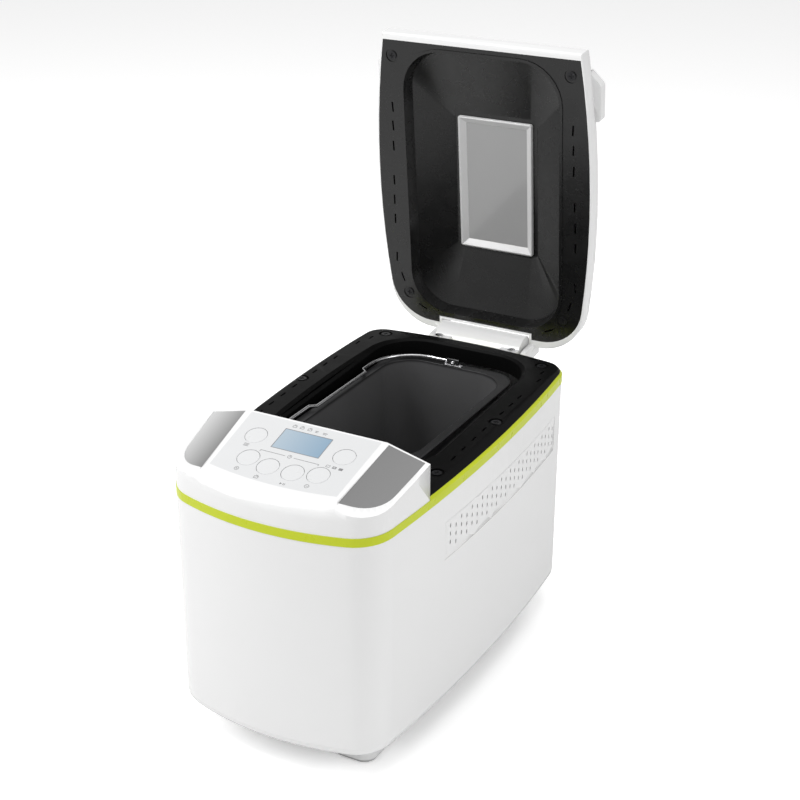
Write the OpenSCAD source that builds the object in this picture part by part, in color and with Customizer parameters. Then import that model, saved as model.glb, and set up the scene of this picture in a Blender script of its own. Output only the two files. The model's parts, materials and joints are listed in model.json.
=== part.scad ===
// Bread machine. Millimetres, +Z up, front at -Y.
// The origin is on the floor, under the middle of the body.

/* [Body] */
// Width of the housing at its widest
body_w = 215; // [212:1:219]
// Front of the housing, ahead of the origin
body_front = 183; // [181:1:186]
// Back of the housing, behind the origin
body_back = 189; // [187:1:191]
// Radius of the bulging sides
side_r = 1500; // [1400:50:1700]
// Place of the widest point along the sides
side_mid_y = 35.5; // [31:0.5:40]
// Radius of the front face
front_r = 248; // [240:1:260]
// Radius of the back face
back_r = 540; // [520:10:600]
// Radius of the front corners
front_corner_r = 34; // [30:1:36]
// Radius of the back corners
back_corner_r = 22; // [20:1:25]
// Height of the housing's lower edge
shell_z = 24; // [22:1:25]
// Radius of the housing's lower edge
shell_fillet = 9.6; // [8:0.2:11]
// Thickness of the housing
wall = 2.5; // [2:0.1:3]

/* [Trim band and deck] */
// Height of the band's lower edge at the middle of the body
band_z = 222.6; // [221.5:0.1:223]
// Slope of the band, lower at the front (degrees)
band_tilt = 1.9; // [1.7:0.02:2]
// Height of the band's side face
band_h = 7.3; // [6.5:0.1:7.6]
// Height of the deck's seat over the band's lower edge
seat_h = 9.3; // [9:0.1:9.5]
// Top of the crowned deck
deck_z = 240.6; // [240.4:0.1:240.8]
// Radius of the deck's crown
deck_r = 2650; // [2600:10:2700]
// Place of the highest point of the deck
deck_mid_y = 120; // [117:1:123]
// Thickness of the deck
deck_t = 2.5; // [2.2:0.1:2.8]
// Half the width of the oven opening
mouth_x = 73; // [71:0.5:74]
// Front edge of the oven opening
mouth_front = 66; // [64:0.5:67]
// Back edge of the oven opening
mouth_back = 173; // [171:0.5:174]
// Corner radius of the oven opening
mouth_r = 40; // [36:1:42]

/* [Controls] */
// Back face of the control housing, ahead of the origin
control_back = 92.6; // [92.4:0.1:92.8]
// Front edge of the panel, ahead of the origin
panel_front = 165.4; // [164.5:0.1:166]
// Height of the panel's front edge
panel_z = 247.7; // [247.3:0.1:248.1]
// Slope of the panel (degrees)
panel_tilt = 15.5; // [15.2:0.1:15.8]
// Half the width of the panel at its back edge
wing_x = 64; // [63:0.5:65]
// Half the width of the panel at its front edge
wing_front_x = 59.2; // [58:0.2:60]
// Slope of the side wings (degrees)
wing_tilt = 14.6; // [13.8:0.1:15.2]
// Radius of the round keys
key_r = 9.1; // [8.5:0.1:9.4]
// Gap around the keys
key_gap = 0.3; // [0.3:0.05:0.4]
// How far a key goes in
key_travel = 0.5; // [0.3:0.1:0.7]
// Width of the display window
lens_w = 42.5; // [38:0.5:44]
// Depth of the display window
lens_d = 23; // [20:0.5:24]

/* [Bread pan] */
// Half the inner width of the pan
pan_x = 56.5; // [54:0.5:57]
// Front of the pan's inside, ahead of the origin
pan_front = 48; // [46:0.5:49]
// Back of the pan's inside
pan_back = 147; // [145:0.5:148]
// Inner corner radius of the pan
pan_r = 30; // [26:1:34]
// Height of the pan's rim
pan_rim_z = 230.1; // [229:0.1:230.6]
// Height of the pan's base
pan_base_z = 108; // [107:0.5:109]
// Thickness of the pan
pan_t = 1.5; // [1.2:0.1:1.8]
// Width of the pan's flange
flange_w = 7.5; // [6.5:0.5:8]
// Radius of the wire handle
wire_r = 1.5; // [1.2:0.1:1.7]
// Place of the drive along the pan
drive_y = 50; // [48:0.5:52]

/* [Lid] */
// Width of the lid at its widest
lid_w = 215.4; // [213:0.2:217]
// Front of the lid, ahead of the origin
lid_front = 91.4; // [91.2:0.1:91.6]
// Back of the lid
lid_back = 198; // [197:0.5:199]
// Radius of the lid's sides
lid_side_r = 850; // [800:10:900]
// Place of the widest point along the lid
lid_mid_y = 45; // [42:1:48]
// Back corner radius of the lid
lid_corner_r = 46; // [43:1:49]
// Height of the lid's lower edge
lid_z = 241.6; // [241.4:0.1:241.9]
// Highest point of the lid
lid_top = 279.6; // [279.2:0.1:280]
// Radius of the lid's crown
lid_crown_r = 1100; // [1050:10:1200]
// Place of the highest point of the lid
lid_crown_y = 55; // [52:1:58]
// Half the width of the window
window_x = 37.2; // [35:0.2:39]
// Front edge of the window, ahead of the origin
window_front = 11.3; // [9:0.1:13]
// Back edge of the window
window_back = 118; // [116:0.5:120]
// Place of the hinge axis
hinge_y = 203.3; // [203:0.1:203.6]
// Height of the hinge axis
hinge_z = 226.2; // [226:0.1:226.5]
// How far the lid opens (degrees)
lid_angle = 83.8; // [78:0.2:86]

/* [Drive] */
// Radius of the drive shaft
shaft_r = 4; // [3.5:0.1:4.5]
// Running clearance of the shafts
shaft_gap = 0.04; // [0.03:0.01:0.06]
// Radius of the large pulley
big_pulley_r = 38; // [34:0.5:40]
// Radius of the small pulley
small_pulley_r = 10; // [9:0.5:11]
// Place of the motor, ahead of the origin
motor_y = 125; // [122:1:127]
// Radius of the motor
motor_r = 32; // [28:1:34]
// Height of the drive plate's top
plate_z = 90; // [89:0.5:90]

/* [Hidden] */
$fn = 64;

white = "#eeeeee";
dark = "#161616";
green = "#c5d22d";
steel = "#c9ccd0";
zinc = "#9aa0a6";

// Flat faces of a body outline: arcs for front, corner, side and back
front_steps = 8;
corner_steps = 8;
side_steps = 10;
crown_steps = 30;
big = 700;
eps = 0.2;

// ---- outlines ----

// Where two circles cross; s picks the side
function meet(a, ra, b, rb, s) =
    let (v = b - a, l = norm(v), u = v / l, m = (ra * ra - rb * rb + l * l) / (2 * l))
    let (h = sqrt(ra * ra - m * m))
    a + m * u + s * h * [-u[1], u[0]];

// Points of an arc, without its first point
function arc(c, r, a0, a1, n) =
    [for (i = [1 : n]) let (a = a0 + (a1 - a0) * i / n) c + r * [cos(a), sin(a)]];

function heading(a, b) = atan2(b[1] - a[1], b[0] - a[0]);

// The right half mirrored to a closed outline
function both_halves(p) =
    concat(p, [for (i = [len(p) - 2 : -1 : 0]) [-p[i][0], p[i][1]]]);

// Outline of the body, d inside its faces
function body_pts(d = 0) =
    let (sc = [body_w / 2 - side_r, side_mid_y], fc = [0, front_r - body_front])
    let (bc = [0, body_back - back_r])
    let (rf = max(front_corner_r - d, 5), rb = max(back_corner_r - d, 5))
    let (cf = meet(sc, side_r - d - rf, fc, front_r - d - rf, -1))
    let (cb = meet(sc, side_r - d - rb, bc, back_r - d - rb, 1))
    let (a1 = heading(fc, cf), a2 = heading(sc, cf), a3 = heading(sc, cb), a4 = heading(bc, cb))
    let (half = concat(
        arc(fc, front_r - d, -90, a1, front_steps),
        arc(cf, rf, a1, a2, corner_steps),
        arc(sc, side_r - d, a2, a3, side_steps),
        arc(cb, rb, a3, a4, corner_steps),
        arc(bc, back_r - d, a4, 90, front_steps)))
    concat([[0, d - body_front]], both_halves(half));

// Outline of the lid and of its liner: straight front edge, round back corners
function lid_pts(w, front, back, corner, d = 0) =
    let (sc = [w / 2 - lid_side_r, lid_mid_y], r = lid_side_r - d)
    let (bc = [0, back - back_line_r], rb = corner - d)
    let (cb = meet(sc, r - rb, bc, back_line_r - d - rb, 1))
    let (a0 = asin((d - front - sc[1]) / r), a1 = heading(sc, cb), a2 = heading(bc, cb))
    let (start = sc + r * [cos(a0), sin(a0)])
    both_halves(concat([start],
        arc(sc, r, a0, a1, side_steps),
        arc(cb, rb, a1, a2, corner_steps + 2),
        arc(bc, back_line_r - d, a2, 90, 3)));

// Rounded rectangle from x0, y0 to x1, y1, grown by g
function round_box(x0, y0, x1, y1, r, g = 0, n = 8) =
    let (q = max(r + g, 0.5), a = x0 - g + q, b = y0 - g + q, c = x1 + g - q, e = y1 + g - q)
    concat(
        arc([c, b], q, -90 - 90 / n, 0, n + 1),
        arc([c, e], q, -90 / n, 90, n + 1),
        arc([a, e], q, 90 - 90 / n, 180, n + 1),
        arc([a, b], q, 180 - 90 / n, 270, n + 1));

module body_prism(d, z0, z1) {
    translate([0, 0, z0]) linear_extrude(z1 - z0) polygon(body_pts(d));
}

// Everything under a shallow crown that runs across, its highest point at y
module under_crown(y, top, r) {
    reach = 240;
    a = asin(reach / r);
    c = [y, top - r];
    translate([-big / 2, 0, 0]) rotate([90, 0, 90]) linear_extrude(big)
        polygon(concat([[y - reach, top - 120], [y + reach, top - 120], c + r * [sin(a), cos(a)]],
                       arc(c, r, 90 - a, 90 + a, crown_steps)));
}

// Everything between two planes parallel to the band
module band_layer(z0, z1) {
    translate([0, 0, band_z]) rotate([band_tilt, 0, 0])
        translate([-big / 2, -big / 2, z0]) cube([big, big, z1 - z0]);
}

module mirror_x() {
    children();
    mirror([1, 0, 0]) children();
}

// ---- housing ----

// Closed form of the housing, d inside its faces
module housing_form(d = 0) {
    r = shell_fillet - d;
    hull() {
        for (i = [0 : fillet_steps]) {
            a = 90 * i / fillet_steps;
            z = shell_z + d + r * (1 - cos(a));
            body_prism(d + r * (1 - sin(a)), z, z + eps);
        }
    }
    body_prism(d, shell_z + shell_fillet, band_z + 20);
}

fillet_steps = 4;
base_inset = 16;
vent_front = 69;
vent_back = 151;
vent_low = 163.8;
vent_tall = 34.4;
vent_slope = 1.24;
vent_gap = 0.35;
vent_lip = 4;
vent_cols = 24;
vent_pitch_y = 8.95;
vent_pitch_z = 7.5;
vent_first_y = 8.5;
vent_first_z = 12.9;
vent_stagger = 3.6;
slot_w = 2;
slot_h = 4;
cord_x = 62;
cord_z = 52;
cord_r = 8;

// Prism through one side wall, in the shape of a vent panel grown by g
module vent_shape(g, s) {
    a = tan(vent_slope);
    y0 = -vent_front - g;
    y1 = vent_back + g;
    translate([s > 0 ? 60 : -130, 0, 0]) rotate([90, 0, 90]) linear_extrude(70)
        polygon([[y0, vent_low + a * y0 - g], [y1, vent_low + a * y1 - g],
                 [y1, vent_low + vent_tall + a * y1 + g], [y0, vent_low + vent_tall + a * y0 + g]]);
}

module housing_shell() {
    color(white) difference() {
        housing_form();
        housing_form(wall);
        band_layer(0, 60);
        body_prism(base_inset, shell_z - 5, shell_z + wall + 5);
        vent_shape(0, 1);
        vent_shape(0, -1);
        for (s = [-1, 1]) {
            for (p = base_hole) {
                translate([s * p[0], p[1], 0]) cylinder(r = 2, h = 60);
            }
            translate([s * block_screw_x, 150, block_screw_z]) rotate([-90, 0, 0])
                cylinder(r = 2, h = 60);
        }
        translate([cord_x, body_back + 5, cord_z]) rotate([90, 0, 0]) cylinder(r = cord_r, h = 30);
    }
}

// Upright slots in staggered columns of three
module vent_slots(s) {
    for (col = [0 : vent_cols - 1]) {
        y = -vent_front + vent_first_y + col * vent_pitch_y;
        z = vent_low + tan(vent_slope) * y + vent_first_z - (col % 2) * vent_stagger;
        for (row = [0 : 2]) {
            translate([s > 0 ? 80 : -120, y, z + row * vent_pitch_z]) rotate([90, 0, 90])
                linear_extrude(40) polygon(round_box(-slot_w / 2, -slot_h / 2,
                                                     slot_w / 2, slot_h / 2, 0.7, 0, 1));
        }
    }
}

module vent_panel(s) {
    difference() {
        union() {
            intersection() {
                body_prism(0.15, 100, 240);
                vent_shape(-vent_gap, s);
            }
            intersection() {
                body_prism(wall, 100, 240);
                vent_shape(vent_lip, s);
            }
        }
        body_prism(wall + 1.4, 90, 250);
        vent_slots(s);
    }
}

module vent_panel_right() {
    color(white) vent_panel(1);
}

module vent_panel_left() {
    color(white) vent_panel(-1);
}

// ---- base ----

foot_x0 = 37;
foot_x1 = 77;
foot_front0 = -144;
foot_front1 = -104;
foot_back0 = 120;
foot_back1 = 160;
foot_corner = 12;
pad_h = 3;
base_t = 2;
base_hole = [[84.9, -128], [90.9, 128]];

module feet(z0, z1, g) {
    for (s = [0, 1]) {
        mirror([s, 0, 0]) {
            translate([0, 0, z0]) linear_extrude(z1 - z0) {
                polygon(round_box(foot_x0, foot_front0, foot_x1, foot_front1, foot_corner, g));
                polygon(round_box(foot_x0, foot_back0, foot_x1, foot_back1, foot_corner, g));
            }
        }
    }
}

module base_plate() {
    z = shell_z + wall;
    color(white) difference() {
        union() {
            body_prism(base_inset + 0.2, shell_z, z);
            body_prism(base_inset - 4.5, z, z + base_t);
            feet(pad_h, shell_z, 0);
        }
        feet(-1, z - 2, -wall);
        for (s = [-1, 1]) {
            for (y = [-60 : 15 : 60]) {
                translate([s * 45 - 20, y, 0]) cube([40, 4, 60]);
            }
            for (p = base_hole) {
                translate([s * p[0], p[1], 0]) cylinder(r = 2, h = 60);
            }
        }
    }
}

module foot_pads() {
    color(dark) {
        feet(0, pad_h, -1.5);
        feet(pad_h, pad_h + 4, -wall);
    }
}

module base_screws() {
    z = shell_z - 2;
    color(steel) for (s = [-1, 1]) {
        for (p = base_hole) {
            translate([s * p[0], p[1], z]) {
                cylinder(r = 3.5, h = 2);
                cylinder(r = 2, h = 2 + wall + base_t + 6);
            }
        }
    }
}

// ---- trim band ----

ring_proud = 0.3;
ring_top_inset = 1.8;
ring_inner = 5;

module trim_ring() {
    color(green) difference() {
        hull() {
            intersection() {
                body_prism(-ring_proud, band_z - 30, band_z + 40);
                band_layer(0, band_h);
            }
            intersection() {
                body_prism(ring_top_inset, band_z - 30, band_z + 40);
                band_layer(seat_h - 0.1, seat_h);
            }
        }
        body_prism(ring_inner, band_z - 40, band_z + 50);
        intersection() {
            band_layer(band_h, band_h + 30);
            translate([-big / 2, -big - control_back, 0]) cube([big, big, big]);
        }
    }
}

// ---- deck ----

mouth_edge = 9.9;
mouth_facet = 7;
skirt_low = -4;
skirt_t = 2.5;
cavity_top = 229.1;
cavity_out = 5;
sheet = 1;
deck_screw = [[95.7, 39], [81, 167.5], [91, -60.4]];
// Slots of the deck: x, y and turn
deck_slot = [
    [92.5, -34.4, 3], [92.5, -16.2, 2], [92.6, 3, 1], [92.8, 22.2, 0], [92.8, 56.4, -1],
    [92.8, 75, -2], [92.6, 93, -3], [92.8, 134.2, -4], [88.2, 152, 0], [66.6, 178.2, 80]
];

function mouth_pts(g) = round_box(-mouth_x, -mouth_front, mouth_x, mouth_back, mouth_r, g);

module mouth_prism(g, z0, z1) {
    translate([0, 0, z0]) linear_extrude(z1 - z0) polygon(mouth_pts(g));
}

module under_deck() {
    under_crown(deck_mid_y, deck_z, deck_r);
}

// The deck's crowned and rounded top over its seat
module deck_form() {
    intersection() {
        under_deck();
        hull() {
            intersection() {
                body_prism(ring_top_inset, band_z - 30, band_z + 40);
                band_layer(seat_h, seat_h + 0.6);
            }
            intersection() {
                body_prism(5, band_z - 30, band_z + 40);
                band_layer(seat_h, seat_h + 3.8);
            }
            intersection() {
                body_prism(11, band_z - 30, band_z + 40);
                band_layer(seat_h, seat_h + 7);
            }
        }
        translate([-big / 2, -control_back, 0]) cube([big, big, big]);
    }
}

module deck_frame() {
    color(dark) difference() {
        union() {
            difference() {
                deck_form();
                translate([0, 0, -deck_t]) deck_form();
            }
            intersection() {
                under_deck();
                difference() {
                    mouth_prism(skirt_t, band_z - 30, band_z + 30);
                    mouth_prism(0, band_z - 40, band_z + 40);
                }
                band_layer(skirt_low, 40);
            }
            intersection() {
                under_deck();
                difference() {
                    mouth_prism(cavity_out + 2.5, cavity_top, band_z + 30);
                    mouth_prism(cavity_out, cavity_top - 1, band_z + 31);
                }
            }
        }
        mouth_prism(0, band_z - 40, band_z + 40);
        hull() {
            intersection() {
                mouth_prism(0, band_z - 40, band_z + 40);
                band_layer(mouth_edge, mouth_edge + 0.1);
            }
            intersection() {
                mouth_prism(mouth_facet, band_z - 40, band_z + 40);
                band_layer(mouth_edge + 6, mouth_edge + 6.1);
            }
        }
        mirror_x() {
            for (p = deck_screw) {
                translate([p[0], p[1], deck_at(p[1]) - 1.4]) cylinder(r = 6.5, h = 10);
                translate([p[0], p[1], 0]) cylinder(r = 1.9, h = big);
            }
            for (p = deck_slot) {
                translate([p[0], p[1], 0]) rotate([0, 0, p[2]])
                    translate([-0.8, -3.8, 0]) cube([1.6, 7.6, big]);
            }
        }
    }
}

function deck_at(y) = deck_z - pow(y - deck_mid_y, 2) / (2 * deck_r);

// Screw with a cross recess, its seat at z = 0
module screw(head_r, head_h, shank_r, shank_l) {
    difference() {
        union() {
            cylinder(r = head_r, h = head_h);
            translate([0, 0, -shank_l]) cylinder(r = shank_r, h = shank_l);
        }
        for (a = [0, 90]) {
            rotate([0, 0, a]) translate([-0.5, -head_r * 0.6, head_h - 0.8])
                cube([1, head_r * 1.2, 2]);
        }
    }
}

module deck_screws() {
    color(dark) mirror_x() {
        for (p = deck_screw) {
            translate([p[0], p[1], deck_at(p[1]) - 1.4]) screw(4.2, 1.3, 1.9, 6);
        }
    }
}

// ---- control housing ----

control_wall = 2.4;
wing_back_z = panel_z + (panel_front - control_back) * tan(panel_tilt);
wing_yaw = atan((wing_x - wing_front_x) / (panel_front - control_back));
film_t = 0.5;
key_pos = [[-40.4, 49], [-31.8, 23.4], [-11.2, 19.2], [11.2, 19.2], [31.8, 23.4], [40.4, 49]];
lens_s = 52.5;
lens_t = 1.5;
board_n = 10;
board_t = 1.6;
board_post_s = [34, 64];

// Local frame of the panel: x, distance up the slope, height over it
module on_panel() {
    translate([0, -panel_front, panel_z]) rotate([panel_tilt, 0, 0]) children();
}

// Local frame of the right wing: outwards, along its inner edge, height over it
module on_wing() {
    translate([wing_x, -control_back, wing_back_z]) rotate([0, 0, -wing_yaw])
        rotate([panel_tilt, 0, 0]) rotate([0, wing_tilt, 0]) children();
}

// Solid form of the control housing, d inside its faces
module control_form(d) {
    intersection() {
        hull() {
            intersection() {
                body_prism(0.2 + d, band_z - 20, band_z + 80);
                on_panel() translate([-big / 2, -big / 2, -90]) cube([big, big, 82 - d]);
            }
            intersection() {
                body_prism(1.8 + d, band_z - 20, band_z + 80);
                on_panel() translate([-big / 2, -big / 2, -10]) cube([big, big, 7 - d]);
            }
            intersection() {
                body_prism(5.5 + d, band_z - 20, band_z + 80);
                on_panel() translate([-big / 2, -big / 2, -10]) cube([big, big, 9.2 - d]);
            }
            intersection() {
                body_prism(13 + d, band_z - 20, band_z + 80);
                on_panel() translate([-big / 2, -big / 2, -10]) cube([big, big, 10 - d]);
            }
        }
        mirror_x_common(d);
        translate([-big / 2, -big - control_back - d, 0]) cube([big, big, big]);
    }
}

module mirror_x_common(d) {
    intersection() {
        on_wing() translate([-big / 2, -big / 2, -big / 2]) cube([big, big, big / 2 - d]);
        mirror([1, 0, 0]) on_wing()
            translate([-big / 2, -big / 2, -big / 2]) cube([big, big, big / 2 - d]);
    }
}

film_s0 = 6.5;
film_s1 = 73.8;
film_x0 = 57.5;
film_x1 = 60;
inlay_back = 8;

module film_shape(z0, h) {
    on_panel() translate([0, 0, z0]) linear_extrude(h)
        polygon(concat(
            [[film_x1, film_s1], [-film_x1, film_s1]],
            [for (i = [-6 : 6]) [i / 6 * film_x0, film_s0 - 5 + 5 * pow(i / 6, 2)]]));
}

module inlay_shape(z0, h) {
    intersection() {
        body_prism(3, band_z, band_z + 80);
        translate([0, inlay_back, 0]) body_prism(3, band_z, band_z + 80);
        on_wing() translate([2.2, -big, z0]) cube([big, big - 1.4, h]);
    }
}

module key_holes(r) {
    on_panel() for (p = key_pos) {
        translate([p[0], p[1], -20]) cylinder(r = r, h = 30);
    }
}

module lens_box(g, z0, h) {
    on_panel() translate([-lens_w / 2 - g, lens_s - lens_d / 2 - g, z0])
        cube([lens_w + 2 * g, lens_d + 2 * g, h]);
}

module control_housing() {
    color(white) {
        difference() {
            control_form(0);
            control_form(control_wall);
            band_layer(-60, band_h);
            film_shape(-film_t, 5);
            mirror_x() inlay_shape(-1.3, 6);
            key_holes(key_r + key_gap);
            lens_box(0, -10, 20);
        }
        on_panel() for (x = [-50, 50]) {
            for (s = board_post_s) {
                translate([x, s, board_t - board_n]) difference() {
                    cylinder(r = 3, h = board_n - board_t - control_wall + 0.8);
                    translate([0, 0, -1]) cylinder(r = 1.2, h = 6);
                }
            }
        }
    }
}

module panel_film() {
    color(white) difference() {
        film_shape(-film_t, film_t);
        key_holes(key_r + key_gap);
        lens_box(0, -10, 20);
    }
}

module wing_inlay_right() {
    color("#9a9a9a") inlay_shape(-1.3, 0.9);
}

module wing_inlay_left() {
    color("#c4c4c4") mirror([1, 0, 0]) inlay_shape(-1.3, 0.9);
}

module display_lens() {
    color("#a9c4d8") lens_box(0, -lens_t, lens_t);
}

module display_module() {
    color(zinc) lens_box(-1, -board_n + board_t, board_n - board_t - lens_t);
}

module control_board() {
    n = -board_n;
    color("#2f6b3f") on_panel() {
        difference() {
            translate([-56, 8, n]) cube([112, 60.5, board_t]);
            for (x = [-50, 50]) {
                for (s = board_post_s) {
                    translate([x, s, n - 1]) cylinder(r = 1.2, h = 5);
                }
            }
        }
        translate([-20, 30, n - 4]) cube([14, 14, 4]);
        translate([6, 20, n - 7]) cube([24, 8, 7]);
        translate([30, 44, n - 5]) cube([12, 18, 5]);
    }
}

module key(i) {
    color(white) on_panel() translate([key_pos[i][0], key_pos[i][1], 0]) {
        translate([0, 0, -2.2]) cylinder(r = key_r, h = 2.2);
        translate([0, 0, -7]) cylinder(r = 2.5, h = 5);
    }
}

module button_menu() {
    key(0);
}

module button_plus() {
    key(1);
}

module button_weight() {
    key(2);
}

module button_start() {
    key(3);
}

module button_minus() {
    key(4);
}

module button_crust() {
    key(5);
}

// ---- oven cavity ----

cavity_floor = plate_z;
probe_x = 34;
probe_z = 165;
probe_r = 3;
element_r = 3.5;
element_z = 103;
element_x = 67.5;
element_front = 58;
element_back = 159;
element_bend = 22;
lead_x = 12;
lead_bend = 9;
cavity_in = 4;
stub_r = 26;

module cavity_box() {
    color(steel) difference() {
        union() {
            mouth_prism(cavity_in + sheet, cavity_floor, cavity_top);
            mouth_prism(cavity_in + 6, cavity_top - sheet, cavity_top);
        }
        mouth_prism(cavity_in, cavity_floor + sheet, cavity_top + 1);
        translate([0, drive_y, 0]) cylinder(r = 15, h = big);
        for (x = [-lead_x, lead_x]) {
            translate([x, 0, element_z]) rotate([90, 0, 0]) cylinder(r = element_r, h = 200);
        }
        translate([probe_x, 0, probe_z]) rotate([90, 0, 0]) cylinder(r = probe_r, h = 200);
    }
}

// Quarter of a bent tube: centre of the bend, its radius and start
module bend(c, r, a, tube_r) {
    translate([c[0], c[1], 0]) rotate([0, 0, a])
        rotate_extrude(angle = 90, $fn = 64) translate([r, 0]) circle(r = tube_r, $fn = 24);
}

module rod(p, q, r) {
    v = q - p;
    translate(p) rotate([0, acos(v[2] / norm(v)), atan2(v[1], v[0])])
        cylinder(r = r, h = norm(v), $fn = 24);
}

module heating_element() {
    x = element_x;
    b = element_bend;
    y0 = -element_front;
    y1 = element_back;
    color("#4a4a4a") translate([0, 0, element_z]) {
        for (s = [0, 1]) {
            mirror([s, 0, 0]) {
                bend([x - b, y1 - b], b, 0, element_r);
                bend([x - b, y0 + b], b, -90, element_r);
                rod([x, y0 + b, 0], [x, y1 - b, 0], element_r);
                rod([0, y1, 0], [x - b, y1, 0], element_r);
                rod([lead_x + lead_bend, y0, 0], [x - b, y0, 0], element_r);
                bend([lead_x + lead_bend, y0 - lead_bend], lead_bend, 90, element_r);
                rod([lead_x, y0 - lead_bend, 0], [lead_x, y0 - lead_bend - 25, 0], element_r);
            }
        }
    }
}

module element_clamps() {
    color(steel) for (s = [0, 1]) {
        mirror([s, 0, 0]) {
            for (y = [0, 100]) {
                difference() {
                    translate([element_x - 6, y, cavity_floor + sheet]) cube([12, 6, 17]);
                    translate([element_x, y - 1, element_z]) rotate([-90, 0, 0])
                        cylinder(r = element_r, h = 8);
                    translate([element_x - 4.5, y - 1, cavity_floor + sheet + 1.5]) cube([9, 8, 6]);
                }
            }
        }
    }
}

module temperature_probe() {
    y = -mouth_front - cavity_in - sheet;
    color(steel) translate([probe_x, y, probe_z]) rotate([90, 0, 0]) {
        translate([0, 0, -10]) cylinder(r = probe_r, h = 22);
        cylinder(r = 8, h = 2);
    }
}

clip_z = 118;
clip_gap = 0.5;

module pan_clips() {
    w = mouth_x + cavity_in;
    x = pan_x + pan_t + clip_gap;
    color(steel) for (s = [0, 1]) {
        mirror([s, 0, 0]) {
            for (y = [30, 62]) {
                translate([0, y, 0]) rotate([-90, 0, 0]) linear_extrude(9)
                    polygon([[w, -clip_z - 50], [w - 1, -clip_z - 50], [x, -clip_z - 20],
                             [x, -clip_z - 16], [w - 1, -clip_z + 4], [w, -clip_z + 4],
                             [w, -clip_z], [x + 1.2, -clip_z - 17], [x + 1.2, -clip_z - 19.5],
                             [w, -clip_z - 48]]);
            }
        }
    }
}

module thermal_fuse() {
    y = -mouth_front - cavity_in - sheet;
    color("#d8d2c0") translate([-34, y, 180]) rotate([90, 0, 0]) {
        cylinder(r = 9, h = 1);
        cylinder(r = 7, h = 8);
    }
    color(steel) for (x = [-39, -29]) {
        translate([x - 2, y - 14, 179.6]) cube([4, 6, 0.8]);
    }
}

// ---- drive ----

plate_t = 2;
bush_l = 8;
bearing_r = 14;
bearing_low = 58;
pulley_z = 42;
pulley_h = 10;
belt_t = 2;
belt_gap = 0.4;
motor_z = 94;
motor_h = 58;
motor_hole = 13;
leg_z = shell_z + wall + base_t;
plate_leg = [[78, -66], [78, 150]];

module chassis_frame() {
    z = plate_z - plate_t;
    color(zinc) difference() {
        union() {
            translate([0, 0, z]) linear_extrude(plate_t)
                polygon(round_box(-86, -78, 86, 158, 12));
            translate([0, 0, z]) linear_extrude(plate_t)
                polygon(round_box(-86, -158, 86, -70, 14));
            for (s = [-1, 1]) {
                for (p = plate_leg) {
                    translate([s * p[0], p[1], leg_z]) cylinder(r = 6, h = z - leg_z + eps);
                }
                translate([s * 72, -146, leg_z]) cylinder(r = 6, h = z - leg_z + eps);
            }
        }
        translate([0, drive_y, 0]) cylinder(r = bearing_r, h = big);
        translate([0, -motor_y, 0]) cylinder(r = motor_hole, h = big);
        for (s = [-1, 1]) {
            for (p = [-44, -22]) {
                translate([s * 22 - 3, p, 0]) cube([6, 14, big]);
            }
        }
    }
}

module bearing_housing() {
    color(zinc) translate([0, drive_y, 0]) difference() {
        union() {
            translate([0, 0, bearing_low]) cylinder(r = bearing_r, h = plate_z - bearing_low);
            translate([0, 0, plate_z - plate_t - 4]) cylinder(r = 25, h = 4);
        }
        translate([0, 0, bearing_low - 1]) cylinder(r = shaft_r + 3, h = 60);
        for (a = [45 : 90 : 315]) {
            rotate([0, 0, a]) translate([20, 0, 0]) cylinder(r = 2, h = big);
        }
    }
}

module drive_bearings() {
    color("#b08a4a") translate([0, drive_y, 0]) {
        for (z = [bearing_low, plate_z - bush_l]) {
            translate([0, 0, z]) difference() {
                cylinder(r = shaft_r + 3, h = bush_l);
                translate([0, 0, -1]) cylinder(r = shaft_r + shaft_gap, h = bush_l + 2);
            }
        }
    }
}

shaft_low = 38;
dog_z = 93;
dog_h = 6;
lug_r = 10;

module drive_shaft() {
    color(steel) translate([0, drive_y, shaft_low]) cylinder(r = shaft_r, h = dog_z + 5 - shaft_low);
}

// Hub with two lugs that push the coupling round
module drive_dog() {
    color(zinc) translate([0, drive_y, dog_z]) difference() {
        union() {
            cylinder(r = 7, h = dog_h);
            for (a = [0, 180]) {
                rotate([0, 0, a]) translate([0, -2.5, 0]) cube([lug_r, 5, dog_h]);
            }
        }
        translate([0, 0, -1]) cylinder(r = shaft_r, h = dog_h);
    }
}

module pulley(r, bore_r) {
    difference() {
        union() {
            cylinder(r = r + 3, h = 1.2);
            cylinder(r = r, h = pulley_h);
            translate([0, 0, pulley_h - 1.2]) cylinder(r = r + 3, h = 1.2);
        }
        translate([0, 0, -1]) cylinder(r = bore_r, h = pulley_h + 2);
        if (r > 20) {
            for (a = [0 : 60 : 300]) {
                rotate([0, 0, a]) translate([22, 0, -1]) cylinder(r = 8, h = pulley_h + 2);
            }
        }
    }
}

module large_pulley() {
    color("#d9d4c6") translate([0, drive_y, pulley_z]) pulley(big_pulley_r, shaft_r);
}

motor_shaft_r = 3.5;

module small_pulley() {
    color(zinc) translate([0, -motor_y, pulley_z]) pulley(small_pulley_r, motor_shaft_r);
}

// Loop round both pulleys
function belt_pts(g) =
    let (a = [0, drive_y], b = [0, -motor_y], l = drive_y + motor_y)
    let (w = asin((big_pulley_r - small_pulley_r) / l))
    concat(
        arc(a, big_pulley_r + g, -w - 12, 180 + w, 24),
        arc(b, small_pulley_r + g, 180 + w - 1, 360 - w, 12));

module drive_belt() {
    h = pulley_h - 4;
    color(dark) translate([0, 0, pulley_z + 2]) linear_extrude(h) difference() {
        polygon(belt_pts(belt_gap + belt_t));
        polygon(belt_pts(belt_gap));
    }
}

module motor_shaft() {
    color(steel) translate([0, -motor_y, shaft_low]) cylinder(r = motor_shaft_r, h = motor_z + 30 - shaft_low);
}

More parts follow.
